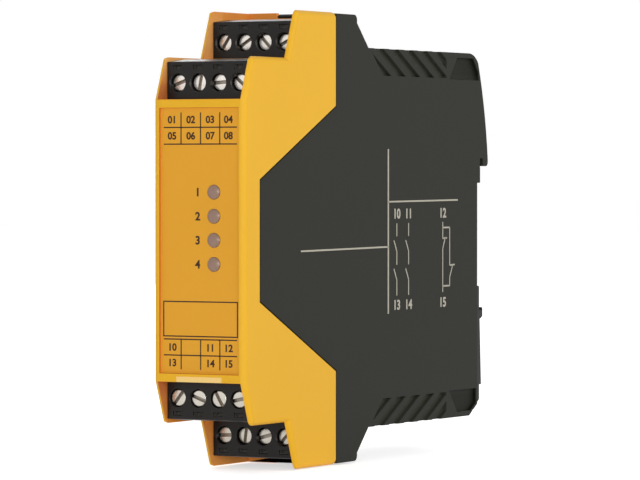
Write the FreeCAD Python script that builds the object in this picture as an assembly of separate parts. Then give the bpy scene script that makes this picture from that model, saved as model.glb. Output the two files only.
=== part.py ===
import FreeCAD, Part
import math
import os

# A safety relay for a 35 mm top-hat rail: a dark base shell that hooks on the rail,
# a yellow cover with stepped bays, four pull-off screw terminal plugs, and inside
# them a circuit board with two force-guided relays.
# Sizes are in millimetres. X is the width, Y the depth from the front face
# towards the rail, Z the height. At the end every piece is moved along Y, so that
# the frame's origin is the middle of the plane that the rail lies against.

Vector = FreeCAD.Vector

# Terminal plugs
poles = 4
pole_pitch = 5.0
plug_depth = 15.6
plug_height = 8.6
plug_nose_drop = 0.6          # the wire side slopes down towards the front face
plug_nose_run = 6.0
plug_play = 0.15              # gap between a plug and each cheek
plug_gap = 0.1                # gap between a plug and the shelf or wall of its bay
front_plug_setback = 3.85     # the front row's faces behind the cover's front
row_step = 19.45              # the rear row's faces behind the front row's
test_slot = (2.3, 0.9, 2.0)
test_slot_above = 3.3         # above the screws

# Terminal screws and their rising clamps
screw_height = 3.5            # above the plug's inner side
head_radius = 1.75
head_length = 1.3
slot_width = 0.8
slot_depth = 0.9
shank_radius = 1.25
thread_play = 0.05
head_well_radius = 1.98
upper_head_drop = 1.2         # heads below the plug's face
lower_head_drop = 0.45
lower_rear_drop = 1.0
shoulder = 0.75               # plastic between the head and the clamp's pocket
clamp_width = 3.9
clamp_side = 0.6
clamp_length = 4.9
clamp_plate = 0.8
clamp_foot = 0.7
clamp_span = 3.6              # along the wire
clamp_travel = 2.0
pocket_play = 0.1
mouth_across = 3.7            # wire funnel at the plug's outer side
mouth_along = 3.8
throat_across = 2.6
throat_along = 2.5

# Plug contacts and header pins
contact_width = 2.4
contact_thickness = 0.7
contact_gap = 0.15            # between the open clamp's plate and the contact
strip_height = 0.7            # the strip's underside above the plug's inner side
pin_size = 1.0
pin_height = 2.8              # the pins' axis above the plug's inner side
pin_reach = 3.9               # how far a pin enters the plug
pin_play = 0.06
spring_leaf = 0.45

# Cover
cheek_wall = 1.1
cover_wall = 1.6
bay_wall = 1.1
panel_half = 30.0             # half height of the front box
cheek_rake = 0.385            # backward lean of the cheeks for each mm of height
front_cheek_lip = 0.4         # front cheeks above the front plugs
rear_cheek_lip = 1.75
rear_cheek_lead = 4.4         # rear cheeks' foot in front of the rear plugs' faces
ledge_drop = 0.05             # the ledge below the front cheek's top
frame_width = 1.5             # rim at each side of the label panel
bar_height = 1.8
panel_recess = 0.7
tab_half = 5.6                # nick in the lower rim, to lift the label
tab_rise = 1.2
tab_recess = 0.25
edge_round = 1.4
corner_round = 2.0
wing_notch_depth = 6.5        # the base's nose starts this far back
wing_notch_half = 13.0
wing_corner_half = 29.0
seam = 0.25
latch_half = 3.0
latch_drop = 1.2
latch_play = 0.1

# Base shell
shell_wall = 1.5
lap = 2.5                     # the base's tongue under the cover's wings
lap_wall = 0.8
lap_play = 0.1
shoulder_drop = 7.15          # the body below the shell's top behind the plugs
shell_depth = 109.0           # to the rear wall
rear_wall = 1.6
shoulder_round = 1.2
foot_chamfer_run = 4.2
foot_chamfer_rise = 2.6

# Rail hook
rail_half = 17.5
rail_seat_gap = 1.5           # the rail lies this far behind the rear wall
hook_slot = 1.3
hook_lip = 2.7
hook_overlap = 1.6
hook_play = 0.2
hook_round = 0.6
land_height = 3.7
land_relief = 0.1
back_corner_run = 4.4         # the rounded rear top corner, and the curved back
back_corner_drop = 2.2
back_skin = 2.2

# Vents and grips at the shell's corners
vent_count = 6
vent_pitch = 7.0
vent_width = 3.9
vent_depth = 0.9
vent_height = 6.0
vent_lean = 10.9
vent_lead = 4.2               # the first groove starts in front of the slope's end
field_lead = 0.3              # the field of grooves starts behind the slope's end
field_lean = 6.6
field_length = 37.8
vent_slot_width = 2.2
vent_slot_margin = 2.6
grip_length = 14.4            # in front of the rear wall
grip_lean = 4.0
grip_top = 1.2
grip_height = 6.2
grip_depth = 0.8

# Board, headers and what they carry
board_thickness = 1.6
board_gap = 0.3
rib_lead = 8.2                # behind the slope's end
rib_height = 1.4
rib_play = 0.05
header_depth = 7.9
header_below = 2.3            # header body below its pins
header_above = 4.1
header_gap = 0.1
header_nose = 0.9             # enters the window of the bay's wall
pin_step = 1.5
pin_tail = 0.5
relay_stand = 12.6
relay_length = 40.0
relay_width = 15.0
relay_round = 0.8
relay_back_gap = 9.4          # between the relays and the rear wall
relay_spacing = 17.0
capacitor_radius = 4.0
capacitor_length = 11.5
capacitor_gap = 6.5           # between the capacitors and the relays
capacitor_height = 15.5
chip_thickness = 1.7
chip_length = 12.0
chip_width = 9.0
chip_gap = 1.5                # between the chips and the capacitors
chip_height = 11.0

# Light guides and lamps
lamp_count = 4
lamp_pitch = 5.09
lamp_top = 10.33
lamp_x = 3.3
lamp_radius = 1.55
lamp_bulge = 0.55
lamp_rod_half = 1.35
lamp_flange_half = 2.1
lamp_bend_depth = 9.0
lamp_bridge = 1.0
lamp_chip_height = 1.1
lamp_chip_side = 2.6
lamp_gap = 0.1

# Foot catch and its spring
foot_top = 12.0               # below the rail's middle
foot_end_rise = 7.0           # the catch's lower end above the body's underside
foot_side_gap = 0.25
foot_slide_gap = 0.05
foot_swell = 1.0
foot_tail_step = 1.0
foot_nose_reach = 1.75
foot_nose_height = 2.1
foot_nose_gap = 0.15
foot_lip = 0.6
foot_travel = 3.0
grip_slot_width = 6.0
grip_slot_height = 1.4
stem_half = 3.4
stem_rise = 22.1              # the stem's top above the body's underside
stem_length = 9.0
stem_gap = 0.1
tee_half = 5.2
tee_depth = 1.6
spring_radius = 2.0
spring_wire = 0.5
spring_turns = 4.0
spring_length = 8.2
spring_gap = 0.05
spring_offset = 3.4
arm_height = 2.0              # of the catch's arm on the spring

# Places that follow from the sizes above
plug_half = poles * pole_pitch / 2
bay_half = plug_half + plug_play
half_width = bay_half + cheek_wall
shell_half = half_width - shell_wall
front_face = front_plug_setback
rear_face = front_face + row_step
front_base = panel_half + plug_gap
front_cheek_top = front_base + plug_height + front_cheek_lip
ledge = front_cheek_top - ledge_drop
rear_base = ledge + plug_gap
rear_cheek_top = rear_base + plug_height + rear_cheek_lip
front_bay_back = front_face + plug_depth + plug_gap
rear_bay_back = rear_face + plug_depth + plug_gap
wing_depth = rear_bay_back + bay_wall
shoulder_depth = wing_depth + 2 * header_gap + header_depth + shell_wall + seam
shell_top = rear_cheek_top - seam
body_half = shell_top - shoulder_drop
body_start = shoulder_depth + shoulder_drop - 1.5 * shoulder_round
foot_end = body_half - foot_end_rise
stem_top = body_half - stem_rise
rail_seat = shell_depth + rail_seat_gap
total_depth = rail_seat + hook_slot + hook_lip
hook_edge = rail_half - hook_overlap
relay_start = shell_depth - rear_wall - relay_back_gap - relay_length
capacitor_depth = relay_start - capacitor_gap - capacitor_radius
chip_depth = capacitor_depth - capacitor_radius - chip_gap - chip_length
board_x = -pole_pitch
board_face = board_x + board_thickness / 2
FAR = 200.0

# Each plug's front face, inner side, side of the relay, head drop and the turn of
# its four slots in degrees
ROWS = {
    "upper_front": (front_face, front_base, 1, upper_head_drop, (20, 80, 4, -40)),
    "upper_rear": (rear_face, rear_base, 1, upper_head_drop, (57, 33, -46, 27)),
    "lower_front": (front_face, front_base, -1, lower_head_drop, (52, -20, -60, 12)),
    "lower_rear": (rear_face, rear_base, -1, lower_rear_drop, (2, 83, 15, 48)),
}


def box(x_from, x_to, y_from, y_to, z_from, z_to):
    corner = Vector(x_from, y_from, z_from)
    return Part.makeBox(x_to - x_from, y_to - y_from, z_to - z_from, corner)


def rod_y(radius, x, z, y_from, y_to):
    return Part.makeCylinder(radius, y_to - y_from, Vector(x, y_from, z), Vector(0, 1, 0))


def rod_x(radius, y, z, x_from, x_to):
    return Part.makeCylinder(radius, x_to - x_from, Vector(x_from, y, z), Vector(1, 0, 0))


def line(start, end):
    return Part.makeLine(Vector(0, *start), Vector(0, *end))


def arc(start, middle, end):
    points = [Vector(0, y, z) for y, z in (start, middle, end)]
    return Part.Arc(*points).toShape()


def face_yz(points):
    corners = [Vector(0, y, z) for y, z in points]
    return Part.Face(Part.makePolygon(corners + corners[:1]))


def slab(face, half):
    """A flat face in the plane x = 0, made a slab from -half to half."""
    solid = face.extrude(Vector(2 * half, 0, 0))
    solid.translate(Vector(-half, 0, 0))
    return solid


def prism(points, half):
    return slab(face_yz(points), half)


def upside_down(shape):
    return shape.mirror(Vector(0, 0, 0), Vector(0, 0, 1))


def both_ends(shapes):
    return shapes + [upside_down(shape) for shape in shapes]


def pole_places():
    return [(index - (poles - 1) / 2) * pole_pitch for index in range(poles)]


def lamp_heights():
    return [lamp_top - index * lamp_pitch for index in range(lamp_count)]


# Cover: one moulded shell with a front box, a stepped bay for each plug, raked
# cheeks, and a notch at each side that the base's nose fills.

def cheek_outline():
    front_top = (cheek_rake * (front_cheek_top - panel_half), front_cheek_top)
    step = (rear_face - rear_cheek_lead, front_cheek_top)
    rear_top = (step[0] + cheek_rake * (rear_cheek_top - front_cheek_top), rear_cheek_top)
    return [(0, panel_half), front_top, step, rear_top, (wing_depth, rear_cheek_top)]


def notch_outline():
    return [(wing_depth, wing_corner_half), (wing_notch_depth, wing_notch_half)]


def is_on(edge, start, end):
    centre = edge.CenterOfMass
    along = abs(centre.y - (start[0] + end[0]) / 2)
    return along < 0.01 and abs(abs(centre.z) - abs(start[1] + end[1]) / 2) < 0.01


def cover_block():
    upper = cheek_outline() + notch_outline()
    lower = [(y, -z) for y, z in reversed(upper)]
    block = prism(upper + lower, half_width)
    rim = cheek_outline()
    runs = list(zip(rim, rim[1:])) + [((0, -panel_half), (0, panel_half))]
    rounded = []
    for edge in block.Edges:
        if edge.BoundBox.XLength < 0.01 and any(is_on(edge, *run) for run in runs):
            rounded.append(edge)
    return block.makeFillet(edge_round, rounded)


def corner_cutter(corner, before, after):
    """What lies outside an arc that rounds a corner of the side outline."""
    sharp = Vector(0, *corner)
    inward = (Vector(0, *before) - sharp).normalize()
    onward = (Vector(0, *after) - sharp).normalize()
    half_angle = inward.getAngle(onward) / 2
    reach = corner_round / math.tan(half_angle)
    bisector = (inward + onward).normalize()
    middle = sharp + bisector * (corner_round / math.sin(half_angle) - corner_round)
    curve = Part.Arc(sharp + inward * reach, middle, sharp + onward * reach).toShape()
    out = sharp - bisector * corner_round
    sides = [Part.makeLine(sharp + onward * reach, out), Part.makeLine(out, sharp + inward * reach)]
    return slab(Part.Face(Part.Wire([curve] + sides)), half_width + 1)


def bay_spaces():
    front_bay = box(-bay_half, bay_half, -1, front_bay_back, panel_half, FAR)
    rear_bay = box(-bay_half, bay_half, front_bay_back - 1, rear_bay_back, ledge, FAR)
    return [front_bay, rear_bay]


def cover_cavity():
    inner = panel_recess + cover_wall
    front_back = front_bay_back + bay_wall
    points = [(inner, panel_half - cover_wall), (front_back, panel_half - cover_wall),
              (front_back, ledge - cover_wall), (wing_depth + 1, ledge - cover_wall)]
    return prism(points + [(y, -z) for y, z in reversed(points)], bay_half)


def header_window(face, base):
    wall_front = face + plug_depth + plug_gap
    middle = base + pin_height
    return box(-shell_half, shell_half, wall_front - 1, wall_front + bay_wall + 1,
               middle - header_below - header_gap, middle + header_above + header_gap)


def front_cover():
    cover = cover_block()
    rim = cheek_outline()
    corners = [corner_cutter(rim[1], rim[0], rim[2]), corner_cutter(rim[3], rim[2], rim[4])]
    cover = cover.cut(both_ends(corners))
    panel = box(frame_width - half_width, half_width - frame_width, -1, panel_recess,
                bar_height - panel_half, panel_half - bar_height)
    lamps = [rod_y(lamp_radius, lamp_x, z, 0, panel_recess + 2 * cover_wall)
             for z in lamp_heights()]
    windows = [header_window(front_face, front_base), header_window(rear_face, rear_base)]
    latch = box(-latch_half, latch_half, rear_bay_back - 1, wing_depth + 1,
                rear_cheek_top - latch_drop, FAR)
    tab = box(-tab_half, tab_half, -1, tab_recess, -panel_half - 1, tab_rise - panel_half)
    cover = cover.cut([cover_cavity(), panel, tab] + lamps)
    return cover.cut(both_ends(bay_spaces() + windows + [latch]))


# Base shell: one moulded tub, closed at the back, with the rail hook, the foot's
# channel, vents through the top and bottom, and a tongue that laps the cover.

def back_outline():
    """The upper half of the side outline, from the cover's edge to the rear wall."""
    slope_end = (body_start, body_half)
    corner_start = (shell_depth - back_corner_run, body_half)
    corner_end = (shell_depth + 0.5, body_half - back_corner_drop)
    corner_middle = (shell_depth - 1.4, body_half - 0.65)
    lip_top = (total_depth, rail_half)
    back_middle = ((corner_end[0] + lip_top[0]) / 2 + 0.65, (corner_end[1] + lip_top[1]) / 2 + 0.3)
    slot_front = rail_seat - land_relief
    lip_front = rail_seat + hook_slot
    ramp = (total_depth - hook_round, hook_edge)
    shoulder_start = (shoulder_depth - shoulder_round, shell_top)
    shoulder_end = (shoulder_depth, shell_top - shoulder_round)
    bend = shoulder_round * (1 - math.sqrt(0.5))
    shoulder_middle = (shoulder_depth - bend, shell_top - bend)
    nick = (shoulder_depth, shell_top - 1.5 * shoulder_round)
    edges = [
        line((-1, shell_top), shoulder_start),
        arc(shoulder_start, shoulder_middle, shoulder_end),
        line(shoulder_end, nick),
        line(nick, slope_end),
        line(slope_end, corner_start),
        arc(corner_start, corner_middle, corner_end),
        arc(corner_end, back_middle, lip_top),
        line(lip_top, (total_depth, hook_edge + hook_round)),
        line((total_depth, hook_edge + hook_round), ramp),
        line(ramp, (lip_front, hook_edge)),
        line((lip_front, hook_edge), (lip_front, rail_half + hook_play)),
        line((lip_front, rail_half + hook_play), (slot_front, rail_half + hook_play)),
        line((slot_front, rail_half + hook_play), (slot_front, hook_edge - hook_play)),
        line((slot_front, hook_edge - hook_play), (rail_seat, hook_edge - hook_play)),
        line((rail_seat, hook_edge - hook_play), (rail_seat, hook_edge - hook_play - land_height)),
        line((rail_seat, hook_edge - hook_play - land_height),
             (shell_depth, hook_edge - hook_play - land_height)),
    ]
    return edges, (shell_depth, hook_edge - hook_play - land_height), slope_end, nick


def shell_block():
    edges, seat_end, slope_end, nick = back_outline()
    wall_end = (shell_depth, foot_chamfer_rise - body_half)
    chamfer_end = (shell_depth - foot_chamfer_run, -body_half)
    lower_slope = (slope_end[0], -slope_end[1])
    lower_nick = (nick[0], -nick[1])
    bend = shoulder_round * (1 - math.sqrt(0.5))
    arc_end = (shoulder_depth, shoulder_round - shell_top)
    arc_middle = (shoulder_depth - bend, bend - shell_top)
    arc_start = (shoulder_depth - shoulder_round, -shell_top)
    edges += [
        line(seat_end, wall_end),
        line(wall_end, chamfer_end),
        line(chamfer_end, lower_slope),
        line(lower_slope, lower_nick),
        line(lower_nick, arc_end),
        arc(arc_end, arc_middle, arc_start),
        line(arc_start, (-1, -shell_top)),
        line((-1, -shell_top), (-1, shell_top)),
    ]
    return slab(Part.Face(Part.Wire(edges)), half_width)


def zone_face(offset):
    """Where the base shows: behind the cover's wings, widened by an offset."""
    corners = [(wing_depth, FAR)] + notch_outline()
    points = corners + [(y, -z) for y, z in reversed(corners)] + [(FAR, -FAR), (FAR, FAR)]
    face = face_yz(points)
    return face.makeOffset2D(offset, 2) if offset else face


def shell_cavity():
    front = -2.0
    top = shell_top - shell_wall
    slope_gap = shell_wall * math.tan(math.radians(22.5))
    nick_depth = shoulder_depth - shell_wall
    inner_slope = nick_depth + (top - body_half) + slope_gap
    roof = body_half - shell_wall
    back = shell_depth - rear_wall
    floor_end = (back - foot_chamfer_run, -roof)
    points = [
        (front, top), (nick_depth - slope_gap, top), (inner_slope, roof),
        (back - back_corner_run, roof),
        (shell_depth - back_skin, body_half - 2 * back_skin),
        (total_depth - 2 * back_skin, rail_half + 3 * back_skin),
        (total_depth - 2 * back_skin, rail_half + hook_play + back_skin),
        (back, rail_half + hook_play + back_skin),
        (back, foot_chamfer_rise - roof), floor_end,
        (inner_slope, -roof), (nick_depth - slope_gap, -top), (front, -top),
    ]
    return prism(points, shell_half)


def vent_outline(start, width, height, lean):
    """A slanted groove: it starts at the top and leans backwards on its way down."""
    below = body_half - height
    over = 1.0
    slant = lean / height
    return [(start - over * slant, body_half + over), (start + width - over * slant, body_half + over),
            (start + width + lean, below), (start + lean, below)]


def vent_field():
    """The part of each corner that the grooves may cut."""
    start = body_start + field_lead
    end = body_start + field_length
    low = body_half - vent_height
    slant = field_lean / vent_height
    return prism([(start - slant, body_half + 1), (end, body_half + 1), (end, low),
                  (start + field_lean, low)], half_width + 1)


def corner_cuts():
    """Slanted vent grooves in both side faces, their slots, and the grip at the rear."""
    cuts = []
    skin = box(-half_width - 1, vent_depth - half_width, 0, FAR, 0, FAR)
    other_skin = skin.mirror(Vector(0, 0, 0), Vector(1, 0, 0))
    field = vent_field()
    for index in range(vent_count):
        start = body_start - vent_lead + index * vent_pitch
        groove = prism(vent_outline(start, vent_width, vent_height, vent_lean), half_width + 1)
        groove = groove.common(field)
        cuts += [groove.common(skin), groove.common(other_skin)]
        if start < body_start:
            continue
        slot_height = shell_wall + 0.5
        slot_lean = vent_lean * slot_height / vent_height
        slot_start = start + (vent_width - vent_slot_width) / 2
        slot = vent_outline(slot_start, vent_slot_width, slot_height, slot_lean)
        cuts.append(prism(slot, half_width - vent_slot_margin))
    front = shell_depth - grip_length
    grip = prism([(front, body_half - grip_height), (front + grip_lean, body_half - grip_top),
                  (shell_depth - back_corner_drop, body_half - grip_top),
                  (shell_depth + 0.4, body_half - back_corner_run),
                  (shell_depth + 0.8, body_half - grip_height)], half_width + 1)
    thin = box(-half_width - 1, grip_depth - half_width, 0, FAR, 0, FAR)
    other_thin = thin.mirror(Vector(0, 0, 0), Vector(1, 0, 0))
    return cuts + [grip.common(thin), grip.common(other_thin)]


def board_ribs():
    """Two pairs of ribs that hold the board's long edges."""
    roof = body_half - shell_wall
    back = shell_depth - rear_wall - back_corner_run
    ribs = []
    for side in (-1, 1):
        inner = board_x + side * (board_thickness / 2 + rib_play)
        outer = inner + side * 1.2
        ribs.append(box(min(inner, outer), max(inner, outer), body_start + rib_lead, back,
                        roof - rib_height, roof + 0.1))
    return ribs


def foot_channel():
    depth = shell_depth - rear_wall
    low = -(stem_top + stem_length + foot_travel + stem_gap)
    return box(-stem_half - stem_gap, stem_half + stem_gap, depth - 1, shell_depth + 1,
               low, stem_gap - stem_top)


def spring_place():
    """Centre line and top of the catch's spring, behind the rear wall."""
    y = shell_depth - rear_wall - tee_depth - spring_offset
    return y, -(stem_top + stem_length + spring_gap)


def spring_post():
    """A block on the floor that the spring stands on."""
    y, top = spring_place()
    half = spring_radius + spring_wire
    return box(-half, half, y - half, y + half, shell_wall / 2 - body_half,
               top - spring_length - spring_gap)


def lap_tongue():
    """The step in both side walls that reaches under the cover's wings."""
    ring = zone_face(lap).cut(zone_face(-lap))
    inner = bay_half - lap_play - lap_wall
    band = slab(ring, bay_half - lap_play)
    hollow = box(-inner, inner, -1, FAR, -FAR, FAR)
    keep = box(-half_width, half_width, 0, wing_depth + lap, -wing_corner_half - lap, wing_corner_half + lap)
    return band.cut(hollow).common(keep)


def housing_base():
    shell = shell_block().common(slab(zone_face(-seam), half_width + 1))
    shell = shell.cut(shell_cavity())
    shell = shell.fuse([lap_tongue(), spring_post()] + both_ends(board_ribs()))
    latch = box(latch_play - latch_half, latch_half - latch_play, rear_bay_back + 0.2,
                wing_depth + lap, rear_cheek_top - latch_drop + latch_play, shell_top - 0.25)
    shell = shell.fuse(both_ends([latch]))
    shell = shell.cut(both_ends(corner_cuts()) + [foot_channel()])
    return shell.removeSplitter()


# Terminal plugs: a moulded block for four poles, with screw wells at the front,
# wire funnels at the outer side, clamp pockets, and pin holes at the back.

def pocket_from(drop):
    return drop + head_length + shoulder


def clamp_rest():
    """Where the clamps' plates start behind the plug's face: the same in all plugs."""
    return pocket_from(upper_head_drop) + pocket_play


def contact_depth():
    return clamp_rest() + clamp_travel + clamp_plate + contact_gap


def wire_funnel(x, face, base):
    low = base + screw_height + clamp_span / 2 - 0.1
    high = base + plug_height + 0.01
    middle = face + contact_depth() + contact_thickness + throat_along / 2
    across, along = throat_across / 2, throat_along / 2
    wide, long = mouth_across / 2, mouth_along / 2
    funnel = Part.makeWedge(-across, low, -along, -long, -wide, across, high, along, long, wide)
    funnel = funnel.mirror(Vector(0, 0, 0), Vector(0, 1, -1))
    funnel.translate(Vector(x, middle, 0))
    return funnel


def plug_body(face, base, drop):
    outline = [(face, base), (face + plug_depth, base), (face + plug_depth, base + plug_height),
               (face + plug_nose_run, base + plug_height),
               (face, base + plug_height - plug_nose_drop)]
    body = prism(outline, plug_half)
    z = base + screw_height
    pocket_start = face + pocket_from(drop)
    pocket_end = face + clamp_rest() + clamp_length + clamp_travel + pocket_play
    pocket_low = base + strip_height
    pocket_high = z + clamp_span / 2 + pocket_play
    back = face + plug_depth
    contact_top = base + pin_height + pin_size / 2 + pin_play + spring_leaf
    cuts = []
    for x in pole_places():
        half_pocket = clamp_width / 2 + pocket_play
        half_contact = contact_width / 2 + pocket_play
        pin_slot = pin_size / 2 + 2 * pin_play
        pin_z = base + pin_height
        cuts += [
            rod_y(head_well_radius, x, z, face - 1, face + drop + head_length),
            rod_y(shank_radius + 2 * thread_play, x, z, face, pocket_start + 1),
            box(x - half_pocket, x + half_pocket, pocket_start, pocket_end, pocket_low, pocket_high),
            box(x - half_contact, x + half_contact, pocket_end - 1, back - 0.6,
                pocket_low, contact_top + pocket_play),
            box(x - pin_slot, x + pin_slot, back - 1, back + 1, pin_z - pin_slot, pin_z + pin_slot),
            box(x - test_slot[0] / 2, x + test_slot[0] / 2, face - 1, face + test_slot[2],
                z + test_slot_above - test_slot[1] / 2, z + test_slot_above + test_slot[1] / 2),
            wire_funnel(x, face, base),
        ]
    return body.cut(cuts)


def plug_contact(x, face, base):
    """One bent strip: clamp bar at the front, leaves round the pin at the back."""
    low = base + strip_height
    bar = face + contact_depth()
    back = face + plug_depth - 0.7
    leaf_start = back - pin_reach + 0.6
    pin_z = base + pin_height
    gap = pin_size / 2 + pin_play
    half = contact_width / 2
    top = base + screw_height + clamp_span / 2 - 0.3
    strip_top = base + screw_height - clamp_span / 2 - pocket_play
    bar_box = box(x - half, x + half, bar, bar + contact_thickness, low, top)
    strip = box(x - half, x + half, bar, back, low, strip_top)
    lower_leaf = box(x - half, x + half, leaf_start, back, low, pin_z - gap)
    upper_leaf = box(x - half, x + half, leaf_start, back, pin_z + gap, pin_z + gap + spring_leaf)
    web = box(x - half, x + half, leaf_start - spring_leaf, leaf_start, low, pin_z + gap + spring_leaf)
    return bar_box.fuse([strip, lower_leaf, upper_leaf, web]).removeSplitter()


def terminal_screw(x, z, face, drop, turn):
    start = face + drop
    tip = face + contact_depth() - contact_gap / 2
    head = rod_y(head_radius, x, z, start, start + head_length)
    shank = rod_y(shank_radius, x, z, start + head_length - 0.1, tip)
    slot = box(x - head_radius - 1, x + head_radius + 1, start - 1, start + slot_depth,
               z - slot_width / 2, z + slot_width / 2)
    slot.rotate(Vector(x, start, z), Vector(0, -1, 0), turn)
    return head.fuse(shank).removeSplitter().cut(slot)


def screw_clamp(x, z, face):
    """A folded frame: threaded plate at the front, open for the wire along Z."""
    start = face + clamp_rest()
    half = clamp_width / 2
    frame = box(x - half, x + half, start, start + clamp_length, z - clamp_span / 2, z + clamp_span / 2)
    space = box(x - half + clamp_side, x + half - clamp_side, start + clamp_plate,
                start + clamp_length - clamp_foot, z - clamp_span, z + clamp_span)
    thread = rod_y(shank_radius + thread_play, x, z, start - 1, start + clamp_plate + 1)
    return frame.cut([space, thread])


# Headers: a moulded block behind each bay that straddles the board's edge. Its
# pins enter the plug and turn to the board inside the block.

def pin_turn(index, wall):
    """How far back pole number index turns towards the board."""
    order = (index - 1) % poles
    return wall + header_gap + 2 * pin_size + order * pin_step


def header_pin(index, x, face, base):
    z = base + pin_height
    wall = face + plug_depth + plug_gap + bay_wall
    half = pin_size / 2
    turn = pin_turn(index, wall)
    tip = face + plug_depth - pin_reach
    prong = box(x - half, x + half, tip, turn + half, z - half, z + half)
    side = 1 if x > board_x else -1
    tail = board_x - side * (board_thickness / 2 + pin_tail)
    run = box(min(x, tail), max(x, tail), turn - half, turn + half, z - half, z + half)
    return prong.fuse(run).removeSplitter()


def header_pins():
    pins = []
    for face, base, side, drop, turns in ROWS.values():
        for index, x in enumerate(pole_places()):
            pin = header_pin(index, x, face, base)
            pins.append(pin if side > 0 else upside_down(pin))
    return pins


def header_body(face, base):
    wall = face + plug_depth + plug_gap + bay_wall
    z = base + pin_height
    half = shell_half - header_gap
    low = z - header_below
    high = z + header_above
    start = wall + header_gap
    block = box(-half, half, start, start + header_depth, low, high)
    nose = box(-half, half, wall - header_nose, start + 0.1, low, high)
    board = board_thickness / 2 + rib_play
    slit = box(board_x - board, board_x + board, start + pin_size, FAR, 0, FAR)
    tails = board_thickness / 2 + pin_tail + pin_play
    tail_room = box(board_x - tails, board_x + tails, start + pin_size, FAR,
                    z - pin_size / 2 - pin_play, z + pin_size / 2 + pin_play)
    pins = [header_pin(index, x, face, base) for index, x in enumerate(pole_places())]
    return block.fuse(nose).removeSplitter().cut([slit, tail_room] + pins)


def main_board(pins):
    front = panel_recess + cover_wall + board_gap
    front_top = panel_half - cover_wall - board_gap
    step_one = front_bay_back + bay_wall + 2 * pin_size
    first_top = ledge - cover_wall - board_gap
    step_two = rear_bay_back + bay_wall + 2 * pin_size
    second_top = shell_top - shell_wall - 2 * board_gap - 1
    slope = shoulder_depth - shell_wall - board_gap
    edge = body_half - shell_wall - board_gap
    back = shell_depth - rear_wall - back_corner_run
    upper = [(front, front_top), (step_one, front_top), (step_one, first_top),
             (step_two, first_top), (step_two, second_top), (slope, second_top),
             (slope + second_top - edge, edge), (back, edge)]
    lower = [(y, -z) for y, z in reversed(upper)]
    board = prism(upper + lower, board_thickness / 2)
    board.translate(Vector(board_x, 0, 0))
    return board.cut(pins)


def relay(z):
    case = box(board_face, board_face + relay_stand, relay_start, relay_start + relay_length,
               z - relay_width / 2, z + relay_width / 2)
    long_edges = [edge for edge in case.Edges if edge.BoundBox.XLength > relay_round]
    return case.makeFillet(relay_round, long_edges)


def capacitors():
    return [rod_x(capacitor_radius, capacitor_depth, sign * capacitor_height, board_face,
                  board_face + capacitor_length) for sign in (-1, 1)]


def logic_chips():
    return [box(board_face, board_face + chip_thickness, chip_depth, chip_depth + chip_length,
                sign * chip_height - chip_width / 2, sign * chip_height + chip_width / 2)
            for sign in (-1, 1)]


# Light guides: one clear moulding with a domed rod behind each lamp hole, turned
# towards the lamps on the board.

def lamp_dome(z):
    front = panel_recess - lamp_bulge
    ball = (lamp_radius ** 2 + lamp_bulge ** 2) / (2 * lamp_bulge)
    stub = rod_y(lamp_radius - thread_play, lamp_x, z, front, panel_recess + cover_wall)
    sphere = Part.makeSphere(ball, Vector(lamp_x, front + ball, z))
    return stub.common(sphere.fuse(rod_y(ball, lamp_x, z, front + ball, FAR)))


def lamp_guide(z):
    start = panel_recess + cover_wall
    reach = board_face + lamp_chip_height + lamp_gap
    flange = box(lamp_x - lamp_flange_half, lamp_x + lamp_flange_half, start, start + 1,
                 z - lamp_flange_half, z + lamp_flange_half)
    half = lamp_rod_half
    rod = box(lamp_x - half, lamp_x + half, start, lamp_bend_depth + half, z - half, z + half)
    arm = box(reach, lamp_x + half, lamp_bend_depth - half, lamp_bend_depth + half,
              z - half, z + half)
    corner = box(-FAR, FAR, 0, FAR, -FAR, FAR)
    corner.rotate(Vector(0, 0, 0), Vector(0, 0, 1), -45)
    corner.translate(Vector(lamp_x, lamp_bend_depth, 0))
    return lamp_dome(z).fuse([flange, rod.fuse(arm).cut(corner)])


def light_guide():
    heights = lamp_heights()
    bridge_start = lamp_bend_depth - 4 * lamp_bridge
    bridge = box(lamp_x - lamp_bridge, lamp_x + lamp_bridge, bridge_start,
                 bridge_start + lamp_bridge, min(heights), max(heights))
    guides = [lamp_guide(z) for z in heights]
    return bridge.fuse(guides).removeSplitter()


def status_lamps():
    half = lamp_chip_side / 2
    return [box(board_face, board_face + lamp_chip_height, lamp_bend_depth - half,
                lamp_bend_depth + half, z - half * 0.8, z + half * 0.8)
            for z in lamp_heights()]


# Foot catch: a slide on the rear wall with a nose that grips the rail's lower
# edge, held up by a coil spring. It is pulled down with a screwdriver.

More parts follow.
